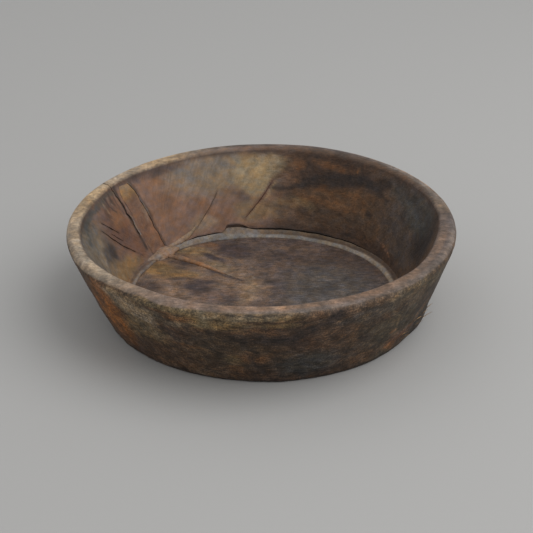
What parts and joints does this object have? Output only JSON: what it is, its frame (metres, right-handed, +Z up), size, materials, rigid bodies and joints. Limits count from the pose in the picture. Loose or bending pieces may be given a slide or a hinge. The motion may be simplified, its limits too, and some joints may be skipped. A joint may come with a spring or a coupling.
{
  "type": "carved wooden bowl",
  "caption": "Shallow round bowl carved from one block of wood, with sloping walls, a thick rounded rim, a flat floor and old filler in its drying splits.",
  "frame": {"origin": "centre of the flat foot, on the plane the bowl rests on", "axes": "+Z up, out of the bowl's mouth; -Y is the side with the lowest stretch of rim, and the repaired corner lies towards -X and +Y"},
  "size_m": [0.2782, 0.2818, 0.0719],
  "materials": {
    "aged_wood": "hand-carved, oiled and worn, dark brown with ochre and grey patches",
    "pale_filler": "dull grey putty of sawdust and resin, rough",
    "brown_filler": "matt ochre-brown putty of sawdust and resin, rough"
  },
  "bodies": {
    "root": {"bowl_body": "aged_wood", "corner_bead": "pale_filler", "corner_patch": "brown_filler", "wall_strip": "brown_filler", "split_edge_fill": "pale_filler", "check_fill": "brown_filler", "floor_split_fill": "brown_filler"}
  },
  "joints": []
}
